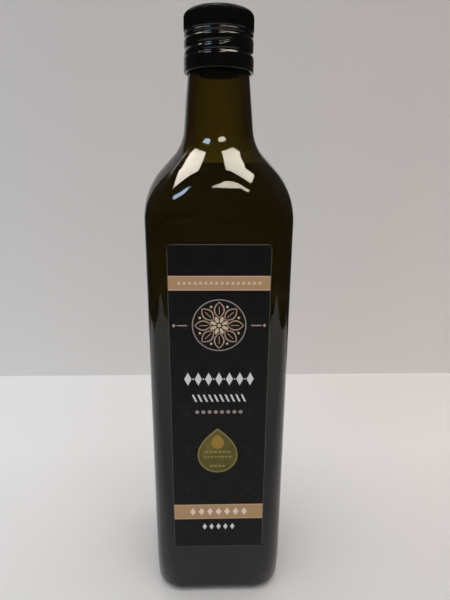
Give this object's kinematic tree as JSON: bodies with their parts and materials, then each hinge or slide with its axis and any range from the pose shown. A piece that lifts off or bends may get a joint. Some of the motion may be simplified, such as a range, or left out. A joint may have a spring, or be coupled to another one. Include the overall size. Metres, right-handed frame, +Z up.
{
  "type": "olive oil bottle",
  "caption": "Tall square dark olive glass bottle of olive oil with a threaded black metal screw cap and a dark front label.",
  "frame": {"origin": "middle of the base, on the surface that the bottle stands on", "axes": "+Z up along the bottle's axis, -Y out of the labelled front, +X to the right as seen from the front"},
  "size_m": [0.067, 0.068, 0.2901],
  "materials": {
    "bottle_glass": "very dark olive-brown bottle glass, polished",
    "oil": "clear green-gold olive oil",
    "cap_metal": "black lacquered aluminium, satin gloss",
    "label_paper": "black matt-varnished paper with tan and white printing",
    "seal_foil": "green-gold satin foil paper"
  },
  "bodies": {
    "root": {"glass_bottle": "bottle_glass", "olive_oil": "oil", "screw_cap": "cap_metal", "front_label": "label_paper", "drop_seal": "seal_foil"}
  },
  "joints": []
}
